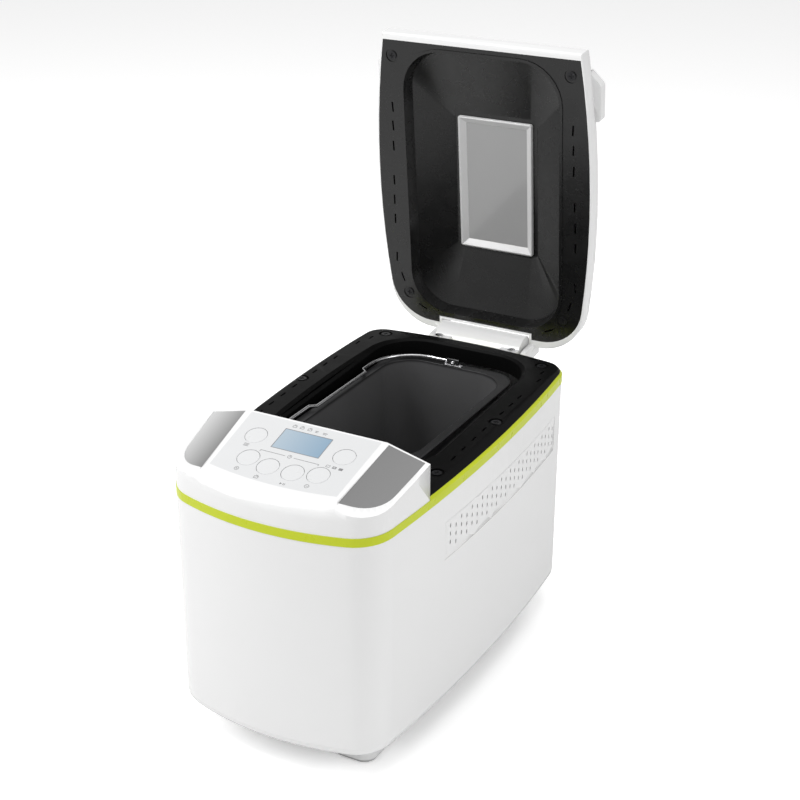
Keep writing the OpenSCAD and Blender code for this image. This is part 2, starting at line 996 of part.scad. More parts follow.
module motor_body() {
    color(steel) translate([0, -motor_y, motor_z]) difference() {
        union() {
            cylinder(r = motor_r, h = motor_h);
            translate([0, 0, -4]) cylinder(r = 11, h = 4);
            translate([0, 0, motor_h]) cylinder(r = 11, h = 5);
            for (a = [45 : 90 : 315]) {
                rotate([0, 0, a]) translate([motor_r - 4, -5, 0]) cube([13, 10, 3]);
            }
        }
        translate([0, 0, -5]) cylinder(r = motor_shaft_r + shaft_gap, h = 40);
        for (a = [0 : 45 : 315]) {
            rotate([0, 0, a]) translate([motor_r - 3, -3, 14]) cube([8, 6, 30]);
        }
        for (a = [45 : 90 : 315]) {
            rotate([0, 0, a]) translate([motor_r + 5, 0, -1]) cylinder(r = 2, h = 6);
        }
    }
}

module motor_mounts() {
    color(dark) translate([0, -motor_y, 0]) for (a = [45 : 90 : 315]) {
        rotate([0, 0, a]) translate([motor_r + 5, 0, plate_z]) difference() {
            cylinder(r = 5, h = motor_z - plate_z);
            translate([0, 0, -1]) cylinder(r = 2, h = 20);
        }
    }
}

module motor_capacitor() {
    color("#d8d8d8") translate([66, -112, plate_z]) {
        cylinder(r = 13, h = 44);
        for (x = [-4, 4]) {
            translate([x - 2, -0.4, 44]) cube([4, 0.8, 7]);
        }
    }
}

module power_board() {
    color("#2f6b3f") translate([-80, -124, plate_z]) {
        translate([0, 0, 6]) cube([34, 46, 1.6]);
        for (x = [3, 31]) {
            for (y = [3, 43]) {
                translate([x, y, 0]) cylinder(r = 2.2, h = 6);
            }
        }
        translate([4, 6, 7.6]) cube([18, 16, 15]);
        translate([5, 28, 7.6]) cube([12, 14, 11]);
        translate([24, 8, 7.6]) cube([7, 28, 9]);
    }
}

module cord_gland() {
    color(dark) translate([cord_x, 0, cord_z]) rotate([-90, 0, 0]) difference() {
        union() {
            translate([0, 0, body_back - 16]) cylinder(r = cord_r, h = 15);
            translate([0, 0, body_back - 11.5]) cylinder(r = cord_r + 3, h = 4);
        }
        cylinder(r = 4, h = big);
    }
}

// ---- bread pan ----

flange_t = 1.5;
pan_fillet = 9;
foot_r = 25;
bore_gap = 0.04;
pan_shaft_r = 4;

function pan_pts(g) = round_box(-pan_x, -pan_front, pan_x, pan_back, pan_r, g);

// Tub with a rounded base, g outside the pan's inner faces
module tub(g, z0, z1, r) {
    hull() {
        for (i = [0 : 3]) {
            a = 30 * i;
            translate([0, 0, z0 + r * (1 - cos(a))]) linear_extrude(eps)
                polygon(pan_pts(g - r * (1 - sin(a))));
        }
    }
    translate([0, 0, z0 + r]) linear_extrude(z1 - z0 - r) polygon(pan_pts(g));
}

module pan_body() {
    color("#3a3a3c") difference() {
        union() {
            tub(pan_t, pan_base_z, pan_rim_z, pan_fillet);
            translate([0, 0, pan_rim_z - flange_t]) linear_extrude(flange_t)
                polygon(round_box(-pan_x, -pan_front, pan_x, pan_back, 14, flange_w));
            translate([0, drive_y, plate_z + sheet + 0.6])
                cylinder(r = foot_r, h = pan_base_z + 1 - plate_z - sheet - 0.6);
        }
        tub(0, pan_base_z + pan_t, pan_rim_z + 1, pan_fillet - pan_t);
        translate([0, drive_y, 0]) cylinder(r = foot_r - 2, h = pan_base_z);
        translate([0, drive_y, 0]) cylinder(r = 9, h = pan_base_z + 10);
    }
}

module pan_bearing() {
    color("#8a8a86") translate([0, drive_y, 0]) difference() {
        union() {
            translate([0, 0, pan_base_z - 5]) cylinder(r = 12, h = 5);
            translate([0, 0, pan_base_z]) cylinder(r = 9, h = pan_t + 4);
        }
        translate([0, 0, pan_base_z - 6]) cylinder(r = pan_shaft_r + bore_gap, h = 30);
    }
}

coupling_z = 93.4;
coupling_h = 5.2;
shaft_top = 142;

module pan_shaft() {
    color(steel) translate([0, drive_y, 0]) difference() {
        translate([0, 0, coupling_z + 6]) cylinder(r = pan_shaft_r, h = shaft_top - coupling_z - 6);
        translate([pan_shaft_r - 1, -5, 116]) cube([5, 10, 40]);
    }
}

// Disc with two wings that the dog's lugs push
module pan_coupling() {
    color(zinc) translate([0, drive_y, 0]) {
        translate([0, 0, coupling_z + 6]) difference() {
            cylinder(r = 14, h = 2.2);
            translate([0, 0, -1]) cylinder(r = pan_shaft_r, h = 5);
        }
        for (a = [90, 270]) {
            rotate([0, 0, a]) translate([7.6, -2.5, coupling_z]) cube([6, 5, 6 + eps]);
        }
    }
}

module retaining_ring() {
    z = pan_base_z + pan_t + 4;
    color(steel) translate([0, drive_y, z + 0.3]) difference() {
        cylinder(r = 6.5, h = 1);
        translate([0, 0, -1]) cylinder(r = pan_shaft_r, h = 3);
    }
}

hub_z = 117;
hub_h = 20;

module kneading_paddle() {
    color("#3a3a3c") translate([0, drive_y, hub_z]) difference() {
        union() {
            cylinder(r = 8.5, h = hub_h);
            rotate([0, 0, 35]) translate([0, -2, 0]) rotate([90, 0, 0]) mirror([0, 0, 1])
                linear_extrude(4) polygon([[0, 0], [44, 0], [44, 10], [36, 30], [26, 33], [0, 20]]);
        }
        difference() {
            translate([0, 0, -1]) cylinder(r = pan_shaft_r + 0.3, h = hub_h + 40);
            translate([pan_shaft_r - 0.7, -6, -2]) cube([6, 12, hub_h + 42]);
        }
    }
}

pivot_z = pan_rim_z + 3.2;
pivot_back = pan_back + 1.9;
pivot_front = -pan_front - 1.9;
bracket_t = 1.5;
pivot_gap = 0.15;

module handle_brackets() {
    color(steel) for (s = [1, -1]) {
        translate([0, s > 0 ? pivot_back : pivot_front, 0]) difference() {
            union() {
                translate([-6, -bracket_t / 2, pan_rim_z]) cube([12, bracket_t, 6.5]);
                translate([-9, s * 0.7 - 2.6, pan_rim_z]) cube([18, 5.2, 0.8]);
                for (x = [-7.2, 7.2]) {
                    translate([x, s * 0.7, pan_rim_z + 0.8]) cylinder(r = 1.3, h = 0.7);
                }
            }
            translate([0, -5, pivot_z]) rotate([-90, 0, 0]) cylinder(r = wire_r + pivot_gap, h = 10);
        }
    }
}

wire_x = 65;
grip_x = 59.5;
grip_y0 = 5;
grip_y1 = 90;
wire_jog = 4.5;
wire_bend_back = 44;
wire_bend_front = 24;
wire_knee = 2;
wire_out = 2.9;
wire_sides = 12;

// Route of the wire seen from above, from one pivot round to the other
wire_path =
    let (yb = pivot_back + wire_out, yf = pivot_front - wire_out, k = wire_knee)
    let (b = wire_bend_back, f = wire_bend_front)
    concat(
        [[0, pivot_back - 2.4], [0, yb - k]],
        arc([-k, yb - k], k, 0, 90, 3),
        [[b - wire_x, yb]],
        arc([b - wire_x, yb - b], b, 90, 180, 10),
        [[-wire_x, grip_y1 + wire_jog], [-grip_x, grip_y1]],
        [[-grip_x, grip_y0], [-wire_x, grip_y0 - wire_jog]],
        [[-wire_x, yf + f]],
        arc([f - wire_x, yf + f], f, 180, 270, 7),
        [[-k, yf]],
        arc([-k, yf + k], k, 270, 360, 3),
        [[0, pivot_front + 2.4]]);

// Sideways unit of a route at its point i, longer where the route turns
function sideways(p, i) =
    let (last = len(p) - 1, a = p[i] - p[max(i - 1, 0)], b = p[min(i + 1, last)] - p[i])
    let (u = i == 0 ? b / norm(b) : a / norm(a), v = i == last ? u : b / norm(b))
    let (t = (u + v) / norm(u + v))
    [t[1], -t[0]] / (t * u);

// Wire that follows a flat route
module wire(path, r, n) {
    m = len(path);
    ring = [for (i = [0 : m - 1]) for (j = [0 : n - 1])
        let (a = 360 * j / n, q = path[i] + r * cos(a) * sideways(path, i))
        [q[0], q[1], r * sin(a)]];
    skin = [for (i = [0 : m - 2]) for (j = [0 : n - 1])
        let (k = (j + 1) % n)
        [i * n + j, i * n + k, (i + 1) * n + k, (i + 1) * n + j]];
    first = [for (j = [0 : n - 1]) n - 1 - j];
    final = [for (j = [0 : n - 1]) (m - 1) * n + j];
    polyhedron(ring, concat(skin, [first, final]));
}

module pan_handle() {
    color(steel) translate([0, 0, pivot_z]) wire(wire_path, wire_r, wire_sides);
}

// ---- lid ----

lid_wall = 2.3;
back_line_r = 3000;
liner_w = 211.4;
liner_front = 85.5;
liner_back = 190;
liner_corner = 42;
liner_z = lid_z + 0.2;
liner_t = 2;
notch_x = 46;
notch_y = 185.5;
ear_x0 = 46;
ear_x1 = 51;
ear_r = 9;
pin_r = 3;

function skin_pts(d = 0) = lid_pts(lid_w, lid_front, lid_back, lid_corner_r, d);
function liner_pts(d = 0) = lid_pts(liner_w, liner_front, liner_back, liner_corner, d);

module layer(p, z) {
    translate([0, 0, z]) linear_extrude(eps) polygon(p);
}

module lid_crown(d) {
    under_crown(lid_crown_y, lid_top - d, lid_crown_r - d);
}

// Turns the closed lid up to where it stands open
module open_lid() {
    translate([0, hinge_y, hinge_z]) rotate([-lid_angle, 0, 0])
        translate([0, -hinge_y, -hinge_z]) children();
}

// Outer form of the lid
module lid_form() {
    intersection() {
        hull() {
            layer(skin_pts(1.2), lid_z);
            layer(skin_pts(0), lid_z + 2);
            layer(skin_pts(0), lid_z + 14);
            layer(skin_pts(2.5), lid_z + 20);
            layer(skin_pts(9), lid_z + 27);
            layer(skin_pts(20), lid_z + 32.5);
            layer(skin_pts(40), lid_z + 38);
        }
        lid_crown(0);
    }
}

module lid_hollow() {
    intersection() {
        hull() {
            layer(liner_pts(0), lid_z - 1);
            layer(liner_pts(0), lid_z + 13);
            layer(liner_pts(3), lid_z + 18.5);
            layer(liner_pts(9), lid_z + 24.5);
            layer(liner_pts(19), lid_z + 30);
            layer(liner_pts(38), lid_z + 35.4);
        }
        lid_crown(lid_wall);
    }
}

module notch(g) {
    translate([-notch_x - g, notch_y - g, lid_z - 40]) cube([2 * (notch_x + g), 60, 90]);
}

module window_box(g, z0, z1) {
    translate([0, 0, z0]) linear_extrude(z1 - z0)
        polygon(round_box(-window_x, -window_front, window_x, window_back, 2, g, 4));
}

glass_edge = 6;
frame_proud = 2;
frame_slope = 5.5;
frame_gap = 0.2;
glass_seat = 4;
glass_z = 1.8;
glass_t = 1.2;

module lid_shell() {
    color(white) open_lid() {
        difference() {
            union() {
                difference() {
                    lid_form();
                    difference() {
                        lid_hollow();
                        notch(2.5);
                    }
                }
                for (s = [-1, 1]) {
                    ear(s);
                }
            }
            notch(0);
            window_box(glass_edge, lid_z, lid_top + 5);
            translate([-big / 2, hinge_y, hinge_z]) rotate([0, 90, 0]) cylinder(r = pin_r, h = big);
        }
    }
}

// Cheek that holds a hinge pin
module ear(s) {
    x = s > 0 ? ear_x0 : -ear_x1;
    w = ear_x1 - ear_x0;
    translate([x, hinge_y, hinge_z]) rotate([0, 90, 0]) cylinder(r = ear_r, h = w);
    translate([x, hinge_y - ear_r, hinge_z]) cube([w, ear_r * 2 - 4.5, lid_z + 12 - hinge_z]);
}

module hinge_pins() {
    color(steel) open_lid() for (x = [36, -ear_x1]) {
        translate([x, hinge_y, hinge_z]) rotate([0, 90, 0]) cylinder(r = pin_r, h = ear_x1 - 36);
    }
}

recess_x = 76.6;
recess_front = 78.7;
recess_back = 177.7;
recess_r = 38;
recess_wall_h = 11;
window_z = liner_z + 30.5;
bead_w = 2.6;
bead_h = 0.9;
lid_screw = [[87, -71], [80.3, 163.4]];
// Slots of the liner: x, y and turn
lid_slot = [
    [89, -22.6, 4], [89.5, -4.6, 3], [90, 15, 2], [91.2, 49, 1], [91.9, 68.7, 0], [92.1, 88.2, -1],
    [92.4, 127.8, -3], [86.8, 148, 20], [66.5, 176.2, 65]
];

function recess_pts(g) =
    round_box(-recess_x, -recess_front, recess_x, recess_back, recess_r, g);

module pyramid(g, up) {
    hull() {
        layer(recess_pts(g), liner_z - 1 + up);
        layer(recess_pts(g), liner_z + up);
        layer(recess_pts(g - 3), liner_z + recess_wall_h + up);
        translate([0, 0, window_z + up]) linear_extrude(eps)
            polygon(round_box(-window_x, -window_front, window_x, window_back, 3, 4.5 + g, 8));
    }
}

module lid_liner() {
    color(dark) open_lid() difference() {
        union() {
            translate([0, 0, liner_z]) linear_extrude(liner_t) polygon(liner_pts(0));
            intersection() {
                pyramid(1.8, 1.8);
                translate([-big / 2, -big / 2, liner_z]) cube([big, big, 40]);
            }
            translate([0, 0, liner_z - bead_h]) linear_extrude(bead_h + 0.1) difference() {
                polygon(recess_pts(bead_w));
                polygon(recess_pts(0));
            }
        }
        pyramid(0, 0);
        window_box(frame_gap, lid_z, lid_top);
        notch(2.5);
        mirror_x() {
            for (p = lid_screw) {
                translate([p[0], p[1], liner_z - 1]) cylinder(r = 6.2, h = 1.9);
                translate([p[0], p[1], liner_z - 1]) cylinder(r = 1.8, h = 10);
            }
            for (p = lid_slot) {
                translate([p[0], p[1], 0]) rotate([0, 0, p[2]])
                    translate([-0.8, -4.7, liner_z - 1]) cube([1.6, 9.4, 5]);
            }
        }
    }
}

module window_frame() {
    color(white) open_lid() difference() {
        intersection() {
            union() {
                window_box(0, window_z - frame_proud, lid_top);
                window_box(glass_edge - 0.5, window_z + 2, lid_top);
            }
            lid_crown(1.6);
        }
        hull() {
            window_box(-1.5, window_z - frame_proud - eps, window_z - frame_proud);
            window_box(-1.5 - frame_slope, window_z + glass_z, window_z + glass_z + eps);
        }
        window_box(-glass_seat, window_z + glass_z, lid_top + 5);
    }
}

module window_glass_inner() {
    color("#9b9b9b", 0.6) open_lid()
        window_box(-glass_seat, window_z + glass_z, window_z + glass_z + glass_t);
}

module window_glass_outer() {
    color("#b8b8b8", 0.6) open_lid() intersection() {
        difference() {
            lid_crown(0);
            lid_crown(1.6);
        }
        window_box(glass_edge, lid_z + 10, lid_top + 5);
    }
}

module lid_screws() {
    color(dark) open_lid() mirror_x() {
        for (p = lid_screw) {
            translate([p[0], p[1], liner_z + 0.9]) mirror([0, 0, 1]) screw(4, 1, 1.8, 7);
        }
    }
}

grip_y = -48;
grip_l = 40;
grip_out = 6.5;
grip_z = 13;
grip_h = 10;

// Finger grip that stands out of the lid's side, its front end slanted
module lid_grips() {
    w = lid_w / 2 - pow(grip_y - lid_mid_y, 2) / (2 * lid_side_r);
    y0 = grip_y - grip_l / 2;
    y1 = grip_y + grip_l / 2;
    color(white) open_lid() mirror_x() difference() {
        translate([0, 0, lid_z + grip_z]) linear_extrude(grip_h) polygon([
            [w - 5, y0 - 4], [w + grip_out - 1, y0 + 6], [w + grip_out, y0 + 8],
            [w + grip_out, y1 - 2.5], [w + grip_out - 1.2, y1 - 0.8], [w - 5, y1 + 1]]);
        lid_form();
    }
}

// ---- hinge ----

block_x = 43.9;
block_gap = 0.4;
block_nose = [216.5, 223];
block_nose_r = 22;
block_low = 190;
block_back = 222.5;
block_foot_y = 194;
block_foot_z = 208;
lug_x = 26;
lug_y = 199.5;
lug_z = 236.6;
lug_screw = [38, 195];
block_screw_x = 34;
block_screw_z = 199;

module hinge_block() {
    x = block_x;
    n = block_nose;
    color(white) difference() {
        union() {
            translate([-x, 0, 0]) rotate([90, 0, 90]) linear_extrude(2 * x) polygon(concat(
                [[180, n[1] - 6], [180, block_low], [block_foot_y, block_low],
                 [block_foot_y, block_foot_z], [block_back, block_foot_z + 14],
                 [block_back, n[1] + 17], [block_back - 3, n[1] + block_nose_r - 1.5],
                 [n[0], n[1] + block_nose_r]],
                arc(n, block_nose_r, 90, 180, 10)));
            for (s = [-1, 1]) {
                translate([s > 0 ? lug_x : -x, 180, block_foot_z])
                    cube([x - lug_x, lug_y - 180, lug_z - block_foot_z]);
            }
        }
        translate([-big / 2, hinge_y, hinge_z]) rotate([0, 90, 0])
            cylinder(r = pin_r + 0.05, h = big);
        body_prism(-ring_proud - block_gap, shell_z, 300);
        for (s = [-1, 1]) {
            translate([s * lug_screw[0], lug_screw[1], lug_z - 9]) cylinder(r = 2, h = 20);
            translate([s * block_screw_x, 150, block_screw_z]) rotate([-90, 0, 0])
                cylinder(r = 2, h = 60);
        }
    }
}

module hinge_screws() {
    color(steel) for (s = [-1, 1]) {
        translate([s * lug_screw[0], lug_screw[1], lug_z]) screw(3.6, 1.4, 2, 8);
        translate([s * block_screw_x, block_foot_y, block_screw_z]) rotate([-90, 0, 0])
            screw(4.2, 2, 2, 12);
    }
}

housing_shell();
base_plate();
foot_pads();
base_screws();
trim_ring();
deck_frame();
deck_screws();
control_housing();
panel_film();
wing_inlay_left();
wing_inlay_right();
display_lens();
display_module();
control_board();
button_menu();
button_plus();
button_weight();
button_start();
button_minus();
button_crust();
vent_panel_left();
vent_panel_right();
cavity_box();
heating_element();
element_clamps();
temperature_probe();
pan_clips();
chassis_frame();
bearing_housing();
drive_bearings();
drive_belt();
motor_body();
motor_mounts();
motor_capacitor();
power_board();
thermal_fuse();
cord_gland();
hinge_block();
hinge_screws();
drive_shaft();
drive_dog();
large_pulley();
motor_shaft();
small_pulley();
pan_body();
pan_bearing();
handle_brackets();
pan_handle();
pan_shaft();
pan_coupling();
retaining_ring();
kneading_paddle();
lid_shell();
lid_grips();
lid_liner();
window_frame();
window_glass_inner();
window_glass_outer();
lid_screws();
hinge_pins();
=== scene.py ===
"""Bread machine: finishes, printed marks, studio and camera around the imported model."""

import json
import math

import bpy
from mathutils import Matrix, Vector


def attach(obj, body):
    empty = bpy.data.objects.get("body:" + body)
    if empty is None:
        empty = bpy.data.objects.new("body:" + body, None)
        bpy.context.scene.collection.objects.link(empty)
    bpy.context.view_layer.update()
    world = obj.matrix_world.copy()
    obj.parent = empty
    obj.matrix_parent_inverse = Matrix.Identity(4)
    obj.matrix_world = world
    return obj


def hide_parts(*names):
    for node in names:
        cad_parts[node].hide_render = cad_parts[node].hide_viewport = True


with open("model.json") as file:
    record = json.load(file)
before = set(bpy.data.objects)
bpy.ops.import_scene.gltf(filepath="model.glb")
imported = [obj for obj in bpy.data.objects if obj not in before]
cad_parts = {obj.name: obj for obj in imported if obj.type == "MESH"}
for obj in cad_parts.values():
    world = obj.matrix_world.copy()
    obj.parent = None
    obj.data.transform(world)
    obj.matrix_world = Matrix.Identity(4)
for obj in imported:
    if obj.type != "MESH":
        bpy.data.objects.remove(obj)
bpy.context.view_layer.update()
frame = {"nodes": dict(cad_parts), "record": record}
node_of = frame["nodes"]
slot_of = {s["node"]: s["material_slot"] for s in frame["record"]["subparts"]}
bodies = frame["record"]["behaviour"]["bodies"]
body_of = {node: body for body, members in bodies.items() for node in members}
mm = 0.001

# Lengths are in mm and angles in degrees, except where a comment says metres.

# Control panel: a mark is placed by its x and by its distance along the slope
# from the panel's front edge
PANEL_FRONT = 165.4
PANEL_HEIGHT = 247.7
PANEL_SLOPE = 15.5
LENS_WIDTH, LENS_DEPTH, LENS_ALONG = 42.5, 23.0, 52.5
KEYS = ("menu", "plus", "weight", "start", "minus", "crust")
INK_LIFT = 0.01
INK_THICKNESS = 0.06
BORDER_THICKNESS = 0.05
BORDER_LINE = 0.6

# Flange of the bread pan as x0, y0, x1, y1, and the bead along its edge
FLANGE = (-64.0, -55.5, 64.0, 154.5)
FLANGE_CORNER = 21.5
RIM_HEIGHT = 230.1
BEAD_INSET = 0.6
BEAD_DROP = 0.8
BEAD_RADIUS = 1.0
BEAD_SMOOTH = 60
# The coating darkens between these two depths under the rim
DARK_FROM, DARK_TO = 3.0, 0.6

# Painted shading on the silver lacquer of the wings runs between their inner and outer edge
# across the body, in metres
WING_INNER, WING_OUTER = 0.062, 0.098

# Depth of the relief that the finishes show, in metres
SKIN_DEPTH = 0.0004
LINE_DEPTH = 0.0002

# Merging, in metres, and the angles under which faces count as one or look smooth
MERGE = 0.00001
FLAT_WITHIN = 0.4
SMOOTH_UNDER = 30

# Studio, in metres: name, place, size, power in watts and what the lamp looks at
BODY_MIDDLE = (0, 0, 0.2)
PAN_MIDDLE = (0.04, 0.1, 0.18)
LAMPS = (
    ("softbox_left", (-1.7, -1.5, 1.6), (1.2, 1.6), 21, BODY_MIDDLE),
    ("softbox_top", (0.2, 0.3, 2.2), (1.6, 1.6), 11, BODY_MIDDLE),
    ("softbox_right", (1.9, -0.3, 0.9), (0.8, 1.6), 9, BODY_MIDDLE),
    ("pan_lamp", (-0.45, -0.45, 1.15), (0.2, 0.35), 4.2, PAN_MIDDLE),
)
SKY_STRENGTH = 0.55
FLOOR_SIZE = 24
FLOOR_MIDDLE = (0, 4, 0)
FLOOR_SEEN = (1.5, 1.5, 1.5)

# Camera: place in metres, its three directions, and its lens
CAMERA_PLACE = (0.59071, -1.05032, 0.79336)
CAMERA_RIGHT = (0.87932, 0.4762, 0.00511)
CAMERA_UP = (-0.19869, 0.35708, 0.9127)
CAMERA_BACK = (0.4328, -0.80357, 0.4086)
SENSOR_WIDTH = 36
FOCAL_LENGTH = 70.49
CLIP_END = 60


# ---- hands: picking, editing and finishing ----

def pick(piece):
    bpy.ops.object.select_all(action="DESELECT")
    piece.hide_set(False)
    piece.select_set(True)
    bpy.context.view_layer.objects.active = piece


def open_mesh(piece, mode="FACE"):
    """Opens a piece for editing, with all of it selected."""
    pick(piece)
    bpy.ops.object.mode_set(mode="EDIT")
    bpy.ops.mesh.select_mode(type=mode)
    bpy.ops.mesh.select_all(action="SELECT")


def close_mesh():
    bpy.ops.object.mode_set(mode="OBJECT")


def clean_up(piece, turn_out=False):
    open_mesh(piece, "VERT")
    bpy.ops.mesh.remove_doubles(threshold=MERGE)
    if turn_out:
        bpy.ops.mesh.normals_make_consistent(inside=False)
    close_mesh()


def join_flat_faces(piece):
    open_mesh(piece)
    bpy.ops.mesh.dissolve_limited(angle_limit=math.radians(FLAT_WITHIN))
    close_mesh()


def soften(piece, angle):
    pick(piece)
    bpy.ops.object.shade_smooth_by_angle(angle=math.radians(angle))


def even_out(piece):
    """Large faces lead the shading, so that cut-outs leave no patches around them."""
    pick(piece)
    weigh = piece.modifiers.new("weigh", "WEIGHTED_NORMAL")
    weigh.keep_sharp = True
    bpy.ops.object.modifier_apply(modifier="weigh")


def round_edges(piece, width, steps, over):
    """Breaks the sharp edges of a piece, as a mould does."""
    pick(piece)
    edge = piece.modifiers.new("edge", "BEVEL")
    edge.width = width * mm
    edge.segments = steps
    edge.limit_method = "ANGLE"
    edge.angle_limit = math.radians(over)
    edge.use_clamp_overlap = True
    bpy.ops.object.modifier_apply(modifier="edge")


def paint(piece, material):
    piece.data.materials.clear()
    piece.data.materials.append(material)


def settle(piece, name, body, material):
    """Leaves a new piece at the origin, riding on its body."""
    pick(piece)
    bpy.ops.object.transform_apply(location=True, rotation=True, scale=True)
    piece.name = name
    piece.data.name = name
    paint(piece, material)
    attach(piece, body)
    return piece


def finished(node, angle=SMOOTH_UNDER, edge=0.0, steps=2, over=30):
    """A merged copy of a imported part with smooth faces, which stands for it.

    Where an edge width is given, edges sharper than the angle `over` are rounded.
    """
    piece = bpy.data.objects.new(node + "_finished", node_of[node].data.copy())
    bpy.context.scene.collection.objects.link(piece)
    clean_up(piece)
    if edge:
        join_flat_faces(piece)
        round_edges(piece, edge, steps, over)
    soften(piece, angle)
    even_out(piece)
    paint(piece, FINISHES[slot_of[node]])
    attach(piece, body_of[node])
    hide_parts(node)
    return piece


# ---- parts of a finish ----

def new_finish(name):
    finish = bpy.data.materials.new(name)
    finish.use_nodes = True
    tree = finish.node_tree
    return finish, tree.nodes, tree.links, tree.nodes["Principled BSDF"]


def textured(nodes, links, kind, scale, detail=2.0, stretch=(1, 1, 1)):
    """A pattern laid on the piece's own coordinates."""
    where = nodes.new("ShaderNodeTexCoord")
    mapping = nodes.new("ShaderNodeMapping")
    mapping.inputs["Scale"].default_value = stretch
    links.new(where.outputs["Object"], mapping.inputs["Vector"])
    pattern = nodes.new(kind)
    pattern.inputs["Scale"].default_value = scale
    if "Detail" in pattern.inputs:
        pattern.inputs["Detail"].default_value = detail
    links.new(mapping.outputs["Vector"], pattern.inputs["Vector"])
    return pattern


def noise(nodes, links, scale, detail, stretch=(1, 1, 1)):
    return textured(nodes, links, "ShaderNodeTexNoise", scale, detail, stretch).outputs["Fac"]


def cells(nodes, links, scale):
    return textured(nodes, links, "ShaderNodeTexVoronoi", scale).outputs["Distance"]


def coordinate(nodes, links, axis):
    """One of the piece's own coordinates."""
    where = nodes.new("ShaderNodeTexCoord")
    split = nodes.new("ShaderNodeSeparateXYZ")
    links.new(where.outputs["Object"], split.inputs["Vector"])
    return split.outputs[axis]


def between(nodes, links, source, low, high, from_low=0.3, from_high=0.7):
    """Spreads a value from one range over another."""
    spread = nodes.new("ShaderNodeMapRange")
    spread.inputs["From Min"].default_value = from_low
    spread.inputs["From Max"].default_value = from_high
    spread.inputs["To Min"].default_value = low
    spread.inputs["To Max"].default_value = high
    links.new(source, spread.inputs["Value"])
    return spread.outputs["Result"]


def blend_colours(nodes, links, amount, first, second):
    """A mix of two colours; the first may be another node's output."""
    mix = nodes.new("ShaderNodeMix")
    mix.data_type = "RGBA"
    if isinstance(first, bpy.types.NodeSocket):
        links.new(first, mix.inputs["A"])
    else:
        mix.inputs["A"].default_value = (*first, 1)
    mix.inputs["B"].default_value = (*second, 1)
    links.new(amount, mix.inputs["Factor"])
    return mix.outputs["Result"]


def emboss(nodes, links, shader, height, strength, depth):
    bump = nodes.new("ShaderNodeBump")
    bump.inputs["Strength"].default_value = strength
    bump.inputs["Distance"].default_value = depth
    links.new(height, bump.inputs["Height"])
    links.new(bump.outputs["Normal"], shader.inputs["Normal"])


# ---- finishes ----

def moulded(
    name, colour, rough=0.25, grain=900, relief=0.02, mottle=0.03, gloss=0.5, coat=0.0
):
    """Injection moulded plastic: fine skin, faint mottling and uneven polish."""
    finish, nodes, links, shader = new_finish(name)
    cloud = noise(nodes, links, 22, 3)
    darker = [c * (1 - mottle) for c in colour]
    links.new(blend_colours(nodes, links, cloud, darker, colour), shader.inputs["Base Color"])
    polish = noise(nodes, links, 60, 4)
    uneven = between(nodes, links, polish, rough * 0.85, rough * 1.15)
    links.new(uneven, shader.inputs["Roughness"])
    emboss(nodes, links, shader, noise(nodes, links, grain, 3), relief, SKIN_DEPTH)
    shader.inputs["Specular IOR Level"].default_value = gloss
    shader.inputs["Coat Weight"].default_value = coat
    shader.inputs["Coat Roughness"].default_value = 0.06
    return finish


def drawn_metal(
    name, colour, rough=0.22, stretch=(1, 60, 60), scale=40, relief=0.03, metal=1.0
):
    """Metal with the fine lines that drawing or rolling leaves."""
    finish, nodes, links, shader = new_finish(name)
    lines = noise(nodes, links, scale, 4, stretch)
    dull = [c * 0.86 for c in colour]
    links.new(blend_colours(nodes, links, lines, dull, colour), shader.inputs["Base Color"])
    uneven = between(nodes, links, lines, rough * 0.7, rough * 1.4)
    links.new(uneven, shader.inputs["Roughness"])
    emboss(nodes, links, shader, lines, relief, LINE_DEPTH)
    shader.inputs["Metallic"].default_value = metal
    return finish


def nonstick_coat(name):
    """Sprayed satin coating: fine light flecks over dark grey, darker at the rim."""
    finish, nodes, links, shader = new_finish(name)
    fleck = between(nodes, links, cells(nodes, links, 900), 1.0, 0.0, 0.08, 0.2)
    cloud = noise(nodes, links, 30, 4)
    base = blend_colours(nodes, links, cloud, (0.12, 0.12, 0.122), (0.14, 0.14, 0.143))
    share = between(nodes, links, fleck, 0.0, 0.35, 0.0, 1.0)
    flecked = blend_colours(nodes, links, share, base, (0.27, 0.27, 0.275))
    low, high = (RIM_HEIGHT - DARK_FROM) * mm, (RIM_HEIGHT - DARK_TO) * mm
    height = between(nodes, links, coordinate(nodes, links, "Z"), 0.0, 1.0, low, high)
    rimmed = blend_colours(nodes, links, height, flecked, (0.022, 0.022, 0.023))
    links.new(rimmed, shader.inputs["Base Color"])
    links.new(between(nodes, links, cloud, 0.33, 0.39), shader.inputs["Roughness"])
    emboss(nodes, links, shader, fleck, 0.06, LINE_DEPTH)
    shader.inputs["Metallic"].default_value = 0.35
    return finish


def lcd_with_painted_shading(name):
    """Clear window over a pale blue display, with painted shading that makes it darker towards
    its right.
    """
    finish, nodes, links, shader = new_finish(name)
    # Painted shading: the display's blue goes from a lighter tone at its left edge to a darker
    # one at its right.
    left, right = -LENS_WIDTH / 2 * mm, LENS_WIDTH / 2 * mm
    painted_shade_ramp = between(nodes, links, coordinate(nodes, links, "X"), 0.0, 1.0, left, right)
    display_painted_shading = blend_colours(nodes, links, painted_shade_ramp, (0.38, 0.46, 0.53), (0.23, 0.34, 0.45))
    links.new(display_painted_shading, shader.inputs["Base Color"])
    grain = noise(nodes, links, 1500, 1)
    links.new(between(nodes, links, grain, 0.10, 0.14), shader.inputs["Roughness"])
    shader.inputs["Coat Weight"].default_value = 0.5
    return finish


